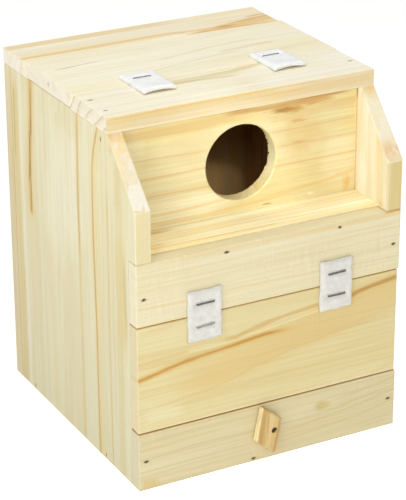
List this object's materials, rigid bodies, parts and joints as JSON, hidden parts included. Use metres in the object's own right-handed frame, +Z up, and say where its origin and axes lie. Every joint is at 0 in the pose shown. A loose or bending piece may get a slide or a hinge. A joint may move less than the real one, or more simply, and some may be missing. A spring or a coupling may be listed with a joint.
{
  "type": "budgie nest box",
  "caption": "Flat-roofed wooden nest box with a round entrance, a porch ledge between slanted wings, a felt-hinged flap door held by a turn-button, and a felt-hinged roof hatch.",
  "frame": {"origin": "middle of the footprint, on the surface that the box stands on", "axes": "+Z up; the front, with the entrance and the flap door, faces -Y; +X is to the right of someone who looks at the front"},
  "size_m": [0.178, 0.1862, 0.2267],
  "materials": {
    "pine": "bare sawn and sanded pine",
    "warm_pine": "bare sawn and sanded pine, more golden",
    "felt": "white needled felt",
    "staple_wire": "dull steel wire",
    "nail_steel": "dark bright-drawn steel"
  },
  "bodies": {
    "house": {"side_left": "pine", "side_right": "pine", "back_panel": "pine", "floor_board": "pine", "porch_ledge": "pine", "entrance_panel": "warm_pine", "front_board_upper": "pine", "front_board_lower": "pine", "roof_strip_front": "pine", "roof_strip_rear": "pine", "door_hinge_left": "felt", "door_hinge_right": "felt", "lid_hinge_left": "felt", "lid_hinge_right": "felt", "staple_door_left_upper": "staple_wire", "staple_door_right_upper": "staple_wire", "button_nail": "nail_steel", "nail_ledge_1": "nail_steel", "nail_ledge_2": "nail_steel", "nail_upper_left": "nail_steel", "nail_upper_right": "nail_steel", "nail_lower_left": "nail_steel", "nail_lower_right": "nail_steel", "nail_lower_floor": "nail_steel", "nail_panel_left": "nail_steel", "nail_panel_right": "nail_steel", "nail_floor_left_front": "nail_steel", "nail_floor_left_rear": "nail_steel", "nail_floor_right_front": "nail_steel", "nail_floor_right_rear": "nail_steel", "nail_back_left_low": "nail_steel", "nail_back_left_middle": "nail_steel", "nail_back_left_high": "nail_steel", "nail_back_right_low": "nail_steel", "nail_back_right_middle": "nail_steel", "nail_back_right_high": "nail_steel", "nail_back_floor": "nail_steel", "nail_roof_left_front": "nail_steel", "nail_roof_left_rear": "nail_steel", "nail_roof_right": "nail_steel"},
    "door": {"front_door": "warm_pine", "staple_door_left_lower": "staple_wire", "staple_door_right_lower": "staple_wire"},
    "lid": {"hatch_lid": "pine", "staple_lid_left": "staple_wire", "staple_lid_right": "staple_wire"},
    "button": {"turn_button": "warm_pine"}
  },
  "joints": [
    {"name": "door_flap", "type": "hinge", "parent": "house", "child": "door", "pos_m": [0, -0.08935, 0.1065], "axis": [-1, 0, 0], "range_deg": [0, 150], "deforming": ["door_hinge_left", "door_hinge_right"]},
    {"name": "lid_lift", "type": "hinge", "parent": "house", "child": "lid", "pos_m": [0, -0.01015, 0.2255], "axis": [1, 0, 0], "range_deg": [0, 150], "deforming": ["lid_hinge_left", "lid_hinge_right"]},
    {"name": "button_turn", "type": "hinge", "parent": "house", "child": "button", "pos_m": [-0.0004, -0.09315, 0.0209], "axis": [0, 1, 0], "continuous": true}
  ]
}
